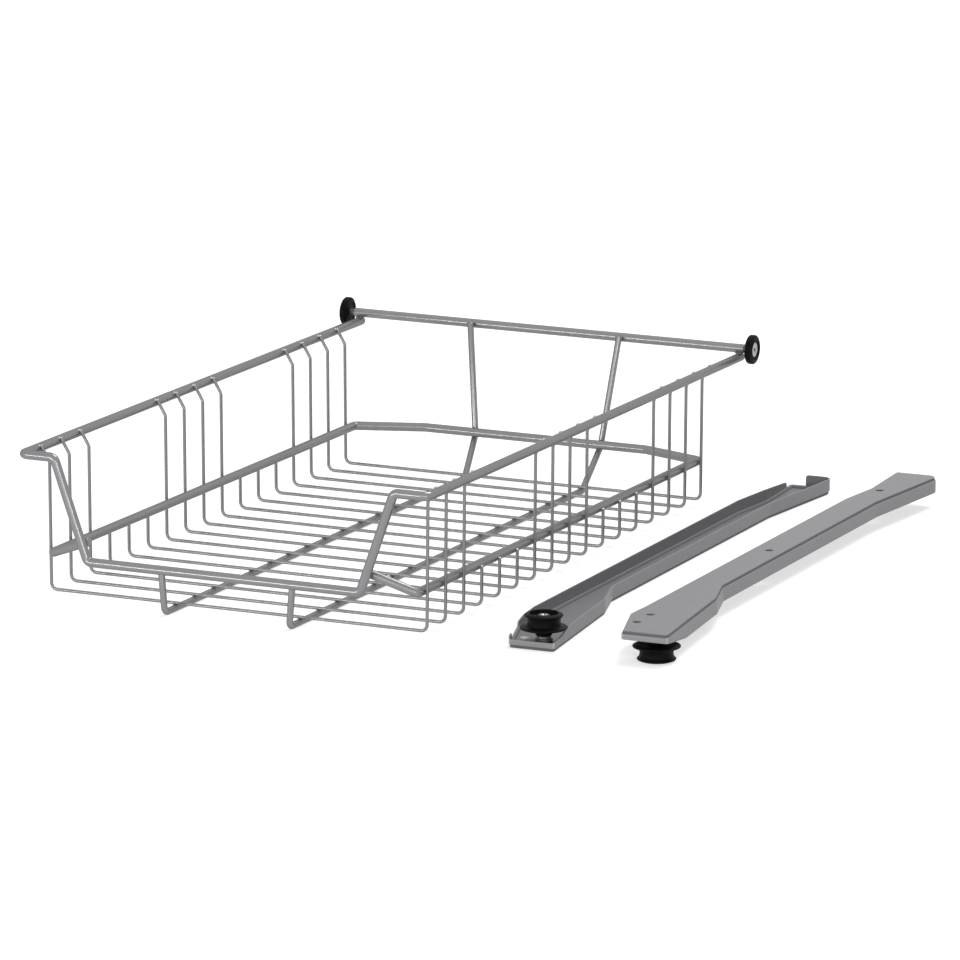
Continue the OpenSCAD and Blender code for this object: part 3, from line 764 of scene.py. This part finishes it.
def flangeTops(edge, tab, web):
    # the flange's height at each place, with its free ends rounded; a low ridge where it is cut away
    heights = [flangeHeight(place, tab) for place in edge]
    tops = []
    count = len(edge)
    radius = rail["freeCorner"]
    for k, height in enumerate(heights):
        if height is None:
            tops.append(web + rail["ridge"])
            continue
        toEnd = radius
        for way in (1, -1):
            travelled, j = 0.0, k
            while travelled < radius and heights[(j + way) % count] is not None:
                travelled += (edge[(j + way) % count] - edge[j]).length
                j = (j + way) % count
            toEnd = min(toEnd, travelled)
        drop = radius - math.sqrt(max(0, radius ** 2 - (radius - toEnd) ** 2))
        tops.append(max(web + rail["leastRise"], height - drop))
    return tops


def railSection(tops):
    # rows of the sheet's cross-section from the mounting face over the bend, up the flange and back
    # down its inside to the pad: (inset, heights along the outline, painted shade)
    sheet, step, inset, dimmer = rail["sheet"], rail["padStep"], rail["padInset"], rail["insideShade"]
    web, inner = step + sheet, inset + sheet
    # painted shade on the wall of the pressed step
    outside = [
        (inset + 0.9, 0.0, 0), (inset + 0.35, 0.06, 0.1), (inset + 0.06, 0.35, 0.7), (inset, 0.8, 1),
        (inset, step - 0.35, 1), (inset - 0.1, step - 0.1, 1), (inset - 0.3, step, 0.6),
        (0.55, step + 0.02, 0.2), (0.25, step + 0.15, 0), (0.07, step + 0.4, 0), (0.0, step + 0.8, 0),
    ]
    # painted shade inside the channel, deepest in the inner bend and at the foot of the pad
    inside = [
        (sheet, web + 0.7, dimmer), (sheet + 0.1, web + 0.25, 0.6), (sheet + 0.35, web + 0.03, 0.6),
        (sheet + 0.75, web, 0.5), (inner - 0.1, web - 0.08, 0), (inner + 0.12, web - 0.5, 0.1),
        (inner + 0.3, sheet + 0.5, 0.7), (inner + 0.6, sheet + 0.1, 0.8), (inner + 1.1, sheet, dimmer),
    ]
    ease, lowest = rail["edgeEase"], rail["edgeDrop"] + 0.04  # rows inside the web stay below the edge
    below = [top - rail["edgeDrop"] for top in tops]
    edge = [(0.0, below, 0), (ease, tops, 0), (sheet - ease, tops, 0), (sheet, below, dimmer)]
    return ([(depth, [z] * len(tops), shade) for depth, z, shade in outside] + edge
            + [(depth, [min(z, top - lowest) if z > web else z for top in tops], shade)
               for depth, z, shade in inside])


def makeRail(name, side, place):
    # the left rail has a raised tab at its front corner, the right one a plain corner
    sheet = rail["sheet"]
    outline = insetLoop(0)
    tab = rail["tabHeight"] if side < 0 else rail["frontFlange"]
    places = stations(outline, tab)

    def alongLoop(loop):
        return [loop[i].lerp(loop[(i + 1) % len(loop)], share) for i, share in places]

    edge = alongLoop(outline)
    # painted highlights at the front lip's two corners
    cut = rail["cornerRadius"] * 0.3  # how far a rounded corner lies inside the sharp one
    tips = [Vector((rail["noseLow"] - cut, cut)), Vector((rail["noseHigh"] + cut, cut))]
    glints = [max(0, 1 - min((p - tip).length for tip in tips) / rail["glintReach"]) * rail["glint"]
              for p in edge]

    bm = bmesh.new()
    shades = bm.verts.layers.float.new("shade")
    highlightLayer = bm.verts.layers.float.new("bare")

    def addVertex(x, y, z, shade, bare):
        vertex = bm.verts.new((x, y, z))
        vertex[shades] = shade
        vertex[highlightLayer] = bare
        return vertex

    def addBand(one, two):
        for k in range(len(one)):
            j = (k + 1) % len(one)
            bm.faces.new((one[k], one[j], two[j], two[k]))

    def screwRing(y, z, radius, shade):
        # a painted highlight on the left rail's hole walls
        bare = rail["holeGlint"] if side < 0 and 0 < z < sheet else 0
        angles = [2 * math.pi * k / rail["screwSides"] for k in range(rail["screwSides"])]
        return [addVertex(radius * math.cos(a), y + radius * math.sin(a), z, shade, bare) for a in angles]

    def addPlate(loops):
        # a flat face inside the first loop, with the other loops as its holes
        edges = [bm.edges.get((loop[k - 1], loop[k])) for loop in loops for k in range(len(loop))]
        bmesh.ops.triangle_fill(bm, edges=edges, use_beauty=True, use_dissolve=False)

    rows = []
    for depth, levels, shade in railSection(flangeTops(edge, tab, rail["padStep"] + sheet)):
        rows.append([addVertex(p.x, p.y, z, shade, glint if depth < rail["glintDepth"] else 0)
                     for p, z, glint in zip(alongLoop(insetLoop(depth)), levels, glints)])
    for one, two in zip(rows, rows[1:]):
        addBand(one, two)
    lowLoops, highLoops = [rows[0]], [rows[-1]]
    radius, ease, dimmer = rail["screwRadius"], rail["screwEase"], rail["insideShade"]
    for y in rail["screws"]:
        # painted shade on the hole walls and their inner rim
        hole = [screwRing(y, 0, radius + ease, 0), screwRing(y, ease, radius, 0.6),
                screwRing(y, sheet - ease, radius, 0.6), screwRing(y, sheet, radius + ease, dimmer)]
        lowLoops.append(hole[0])
        highLoops.append(hole[-1])
        for one, two in zip(hole, hole[1:]):
            addBand(one, two)
    addPlate(lowLoops)
    addPlate(highLoops)
    mirror = Matrix.Scale(-1, 4, (0, 0, 1)) if side > 0 else Matrix.Identity(4)
    return placedMesh(bm, name, place @ mirror, sharpAngle=32)


def railPlace(side):
    # from the rivet's middle back to the front of the rail's line of screws
    low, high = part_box("rivet_left" if side < 0 else "rivet_right")
    turn = Matrix.Rotation(math.radians(rail["yaw"]), 4, "Z")
    spot = (low + high) / 2 - turn @ Vector((rail["rollerLow"], rail["rollerFront"], 0)) * mm
    spot.z = 0 if side < 0 else rail["rollerEnd"] * mm
    return Matrix.Translation(spot) @ turn


roller = {
    "middle": 17.7, "groove": 12.05, "gap": 4.6, "inner": 17.65, "outer": 14.4, "rim": 2, "stem": 6,
    "bore": 3.05, "stemZ": 7.5, "cup": 10.5, "cupDepth": 3, "cupLip": 1.0, "cupDraft": 0.2, "end": 23.9,
    "backTaper": 3.4, "rimRound": 0.6, "outerTaper": 0.7, "innerRise": 0.9, "outerRise": 0.7,
}
rivet = {
    "shaft": 3, "head": 4.5, "headZ": 21.2, "headThick": 1.4, "faceBelow": 0.5,
    "collar": 6.4, "collarStep": 5.3, "collarTop": 5.2, "stepTop": 7.2,
    "dimple": 1.9, "dimpleFloor": 1.4, "dimpleDepth": 0.6,
}


def rollerProfile():
    r = roller
    low, high, rim = r["middle"] - r["gap"], r["middle"] + r["gap"], r["rim"] / 2
    innerEdge, outerEdge = r["inner"] - r["rimRound"], r["outer"] - r["rimRound"]
    cupFloor = r["end"] - r["cupDepth"]
    return [
        (r["bore"], r["stemZ"], 0.2), (r["stem"], r["stemZ"], 0.4), (r["stem"], low - 2 * rim, 1.2),
        (r["inner"] - r["backTaper"], low - 1.5 * rim, 1.0),
        (innerEdge, low - rim * 0.7, 0.6), (r["inner"], low, 0.7), (innerEdge, low + rim * 0.7, 0.6),
        (r["groove"] + r["innerRise"], low + rim * 1.5, 1.8), (r["groove"], r["middle"], 5.5),
        (r["groove"] + r["outerRise"], high - rim * 1.5, 1.6),
        (outerEdge, high - rim * 0.7, 0.5), (r["outer"], high, 0.7),
        (r["outer"] - r["outerTaper"], high + rim * 0.8, 0.6),
        (r["cup"] + r["cupLip"], r["end"], 0.4), (r["cup"], r["end"], 0.3),
        (r["cup"] - r["cupDraft"], cupFloor, 0.6), (r["bore"], cupFloor, 0.15),
    ]


def rivetProfile():
    r = rivet
    top = r["headZ"] + r["headThick"]
    floor = top - r["dimpleDepth"]
    return [
        (0, rail["sheet"], 0), (r["collar"], rail["sheet"], 0.2), (r["collar"], r["collarTop"], 0.5),
        (r["collarStep"], r["collarTop"], 0.3), (r["collarStep"], r["stepTop"], 0.4),
        (r["shaft"], r["stepTop"], 0.1), (r["shaft"], r["headZ"], 0.1), (r["head"], r["headZ"], 0.2),
        (r["head"], top, 0.7), (r["dimple"], top, 0.3), (r["dimpleFloor"], floor, 0.3), (0, floor, 0),
    ]


for word, side in (("Left", -1), ("Right", 1)):
    end = word.lower()
    place = railPlace(side)
    finishPiece("rail" + word, makeRail("rail" + word, side, place), railCoat,
                "rails", ["rail_" + end])
    spot = place @ Matrix.Translation(Vector((rail["rollerLow"], rail["rollerFront"], 0)) * mm)
    if side > 0:
        spot = spot @ Matrix.Rotation(math.pi, 4, "X")
    finishPiece("roller" + word, lathe("roller" + word, rollerProfile(), spot, 112, 6), blackPlastic,
                "roller_" + end, ["roller_" + end])
    faceStart = (rivet["headZ"] - rivet["faceBelow"]) * mm
    metal = makeRivetMetal("rivetSteel" + word, spot.translation, faceStart, rivetMetal)
    finishPiece("rivet" + word, lathe("rivet" + word, rivetProfile(), spot, 64, 4), metal,
                "rails", ["rivet_" + end])
print("rails and rollers made")

bead = {  # half sizes along x, y and z at each kind of joint, and where the bead lies beside its rods
    "runner": {"half": (1.3, 0.7, 0.5), "apart": 1.2, "z": -1.4},
    "ring": {"half": (0.4, 0.5, 0.9), "apart": 1.1, "inwards": 1.1, "down": 0.3},
    "tip": {"half": (0.8, 0.8, 0.9), "outwards": 0.6, "before": 1.4, "down": 0.3},
    "axle": {"half": (3.0, 0.8, 0.9), "apart": 1.6, "z": 108.7},
    "riserTop": {"half": (2.4, 0.8, 1.6), "behind": 2.4},
    "runnerFront": {"half": (2.3, 0.8, 1.6), "y": -19.1, "down": 2},
    "ringEnd": {"half": (2.0, 0.9, 2.4), "outwards": 1.5, "before": 2.9},
}
beadShape = {"unevenness": 0.15, "lumpScale": 900.0, "lump": 0.6 * mm, "seed": 4}


def weldPlaces():
    # (place, half sizes, painted highlight) of each bead; only those at the wires' tips get the painted
    # highlight
    beads = []

    def add(kind, x, y, z):
        beads.append((inBasket(x, y, z), bead[kind]["half"], int(kind == "tip")))

    def addPair(kind, x, y, z):
        add(kind, x, y - bead[kind]["apart"], z)
        add(kind, x, y + bead[kind]["apart"], z)

    wireYs = [i * wire["pitch"] for i in range(wire["count"])]
    for y in wireYs:
        for side in (-1, 1):
            addPair("runner", side * runner["x"], y, bead["runner"]["z"])
            inner = wire["floorWidth"] / 2 - bead["ring"]["inwards"]
            addPair("ring", side * inner, y, ring["height"] - bead["ring"]["down"])
    for side in (-1, 1):
        for i, y in enumerate(wireYs):
            if not isShort(i):
                add("tip", side * (wire["tipX"] + bead["tip"]["outwards"]), y - bead["tip"]["before"],
                    wire["tipZ"] - bead["tip"]["down"])
        addPair("axle", side * frameSide, axle["y"], bead["axle"]["z"])
        add("riserTop", side * (runner["x"] + runner["topLean"]),
            runner["top"][0] + bead["riserTop"]["behind"], axle["z"])
        add("runnerFront", side * (runner["x"] + runner["frontLean"]), bead["runnerFront"]["y"],
            runner["frontZ"] - bead["runnerFront"]["down"])
        add("ringEnd", side * (ring["endX"] + bead["ringEnd"]["outwards"]),
            ring["endY"] - bead["ringEnd"]["before"], ring["endHeight"])
    return beads


def makeBeadTree():
    # a lumpy ball of its own half sizes at each point
    t = Tree("weldBeads", [
        ("Roughness", "NodeSocketFloat"), ("Seed", "NodeSocketInt"), ("Metal", "NodeSocketMaterial")])
    ball = t.node("GeometryNodeMeshIcoSphere", {}, {"Radius": 1.0, "Subdivisions": 3})
    least, most = 1 - beadShape["unevenness"], 1 + beadShape["unevenness"]
    spread = t.node("FunctionNodeRandomValue", {"data_type": "FLOAT_VECTOR"}, {
        0: (least, least, least), 1: (most, most, most), "Seed": t.given("Seed")})
    scaled = t.node("ShaderNodeVectorMath", {"operation": "MULTIPLY"}, {
        0: t.attribute("halfSizes", "FLOAT_VECTOR"), 1: spread})
    placed = t.node("GeometryNodeInstanceOnPoints", {}, {
        "Points": t.given("Geometry"), "Instance": ball, "Scale": scaled})
    real = t.node("GeometryNodeRealizeInstances", {}, {"Geometry": placed})
    lump = t.node("ShaderNodeTexNoise", {}, {"Scale": beadShape["lumpScale"], "Detail": 2.0})
    centred = t.node("ShaderNodeMath", {"operation": "SUBTRACT"}, {0: lump, 1: 0.5})
    amount = t.node("ShaderNodeMath", {"operation": "MULTIPLY"}, {0: centred, 1: t.given("Roughness")})
    shift = t.node("ShaderNodeVectorMath", {"operation": "SCALE"}, {
        0: t.node("GeometryNodeInputNormal"), "Scale": amount})
    rough = t.node("GeometryNodeSetPosition", {}, {"Geometry": real, "Offset": shift})
    return t.finish(t.smooth(rough), t.given("Metal"))


beads = weldPlaces()
spots = bpy.data.meshes.new("weldSpots")
spots.from_pydata([b[0] for b in beads], [], [])
halfSizes = spots.attributes.new("halfSizes", "FLOAT_VECTOR", "POINT").data
for i, b in enumerate(beads):
    halfSizes[i].vector = [v * mm for v in b[1]]
setAttribute(spots, "clean", [b[2] for b in beads])
beadMesh = runTree(makeBeadTree(), spots, {
    "Roughness": beadShape["lump"], "Seed": beadShape["seed"], "Metal": weldBead}, "weldBeads")
finishPiece("weldBeads", beadMesh, weldBead, "basket")
print("weld beads made:", len(beads))

camera = {
    "place": (2487.932, -4815.85, 1289.149), "turn": (77.5947, -0.1020, 25.4699),
    "lens": 285.74, "sensor": 36, "farthest": 50,
}


def makeCamera():
    lens = bpy.data.cameras.new("photoCamera")
    lens.lens = camera["lens"]
    lens.sensor_width = camera["sensor"]
    lens.clip_end = camera["farthest"]
    viewer = bpy.data.objects.new("photoCamera", lens)
    viewer.location = inBasket(*camera["place"])
    viewer.rotation_euler = [math.radians(a) for a in camera["turn"]]
    bpy.context.scene.collection.objects.link(viewer)
    bpy.context.scene.camera = viewer


studio = {"fill": 0.5, "floorTone": 0.62, "floorGlow": 0.6, "floorHalf": 20, "floorBelow": 0.2 * mm}


def makeFloor():
    half = studio["floorHalf"]
    mesh = bpy.data.meshes.new("floor")
    corners = [(-half, -half, 0), (half, -half, 0), (half, half, 0), (-half, half, 0)]
    mesh.from_pydata(corners, [], [(0, 1, 2, 3)])
    floor = bpy.data.objects.new("floor", mesh)
    floor.location.z = -studio["floorBelow"]
    bpy.context.scene.collection.objects.link(floor)
    f = Finish("floor")
    seen = f.node("ShaderNodeLightPath", output="Is Camera Ray")
    for ray in ("Is Glossy Ray", "Is Transmission Ray"):
        seen = seen.math("MAXIMUM", f.node("ShaderNodeLightPath", output=ray))
    glow = seen * studio["floorGlow"]
    f.set(Base_Color=grey(studio["floorTone"]), Roughness=0.9, Specular_IOR_Level=0.0,
          Emission_Color=f.node("ShaderNodeCombineColor", {}, {0: glow, 1: glow, 2: glow}),
          Emission_Strength=1.0)
    mesh.materials.append(f.material)


def makeWorld():
    # white to the eye and in reflections, a soft fill as a light
    world = bpy.data.worlds.new("studio")
    bpy.context.scene.world = world
    world.use_nodes = True
    tree = world.node_tree
    back = tree.nodes["Background"]
    back.inputs["Color"].default_value = (1, 1, 1, 1)
    path = tree.nodes.new("ShaderNodeLightPath")
    bright = path.outputs["Is Camera Ray"]
    for ray in ("Is Glossy Ray", "Is Transmission Ray"):
        joined = tree.nodes.new("ShaderNodeMath")
        joined.operation = "MAXIMUM"
        tree.links.new(bright, joined.inputs[0])
        tree.links.new(path.outputs[ray], joined.inputs[1])
        bright = joined.outputs[0]
    level = tree.nodes.new("ShaderNodeMapRange")
    level.inputs["To Min"].default_value = studio["fill"]
    level.inputs["To Max"].default_value = 1.0
    tree.links.new(bright, level.inputs["Value"])
    tree.links.new(level.outputs[0], back.inputs["Strength"])


lamps = {  # bearing from the front towards the right and height in degrees, distance, size, radiance
    "frontStrip": {"bearing": -27, "height": 5, "distance": 3, "size": (1.2, 0.3), "glow": 14},
    "frontWide": {"bearing": 12, "height": 12, "distance": 3.4, "size": (4.4, 0.9), "glow": 2.2},
    "rightStrip": {"bearing": 41, "height": 10, "distance": 3.2, "size": (0.35, 0.8), "glow": 9},
    "topBack": {"bearing": 150, "height": 66, "distance": 3, "size": (1.5, 1.5), "glow": 7.5},
}


def makeLamps():
    for name, values in lamps.items():
        light = bpy.data.lights.new(name, "AREA")
        light.shape = "RECTANGLE"
        light.size, light.size_y = values["size"]
        light.energy = values["glow"] * math.pi * light.size * light.size_y
        lamp = bpy.data.objects.new(name, light)
        bearing, height = math.radians(values["bearing"]), math.radians(values["height"])
        level = math.cos(height)
        way = Vector((math.sin(bearing) * level, -math.cos(bearing) * level, math.sin(height)))
        lamp.location = way * values["distance"]
        lamp.rotation_euler = (-way).to_track_quat("-Z", "Y").to_euler()
        bpy.context.scene.collection.objects.link(lamp)


makeCamera()
makeFloor()
makeWorld()
makeLamps()
bpy.context.scene.view_settings.view_transform = "Standard"
print("studio made")
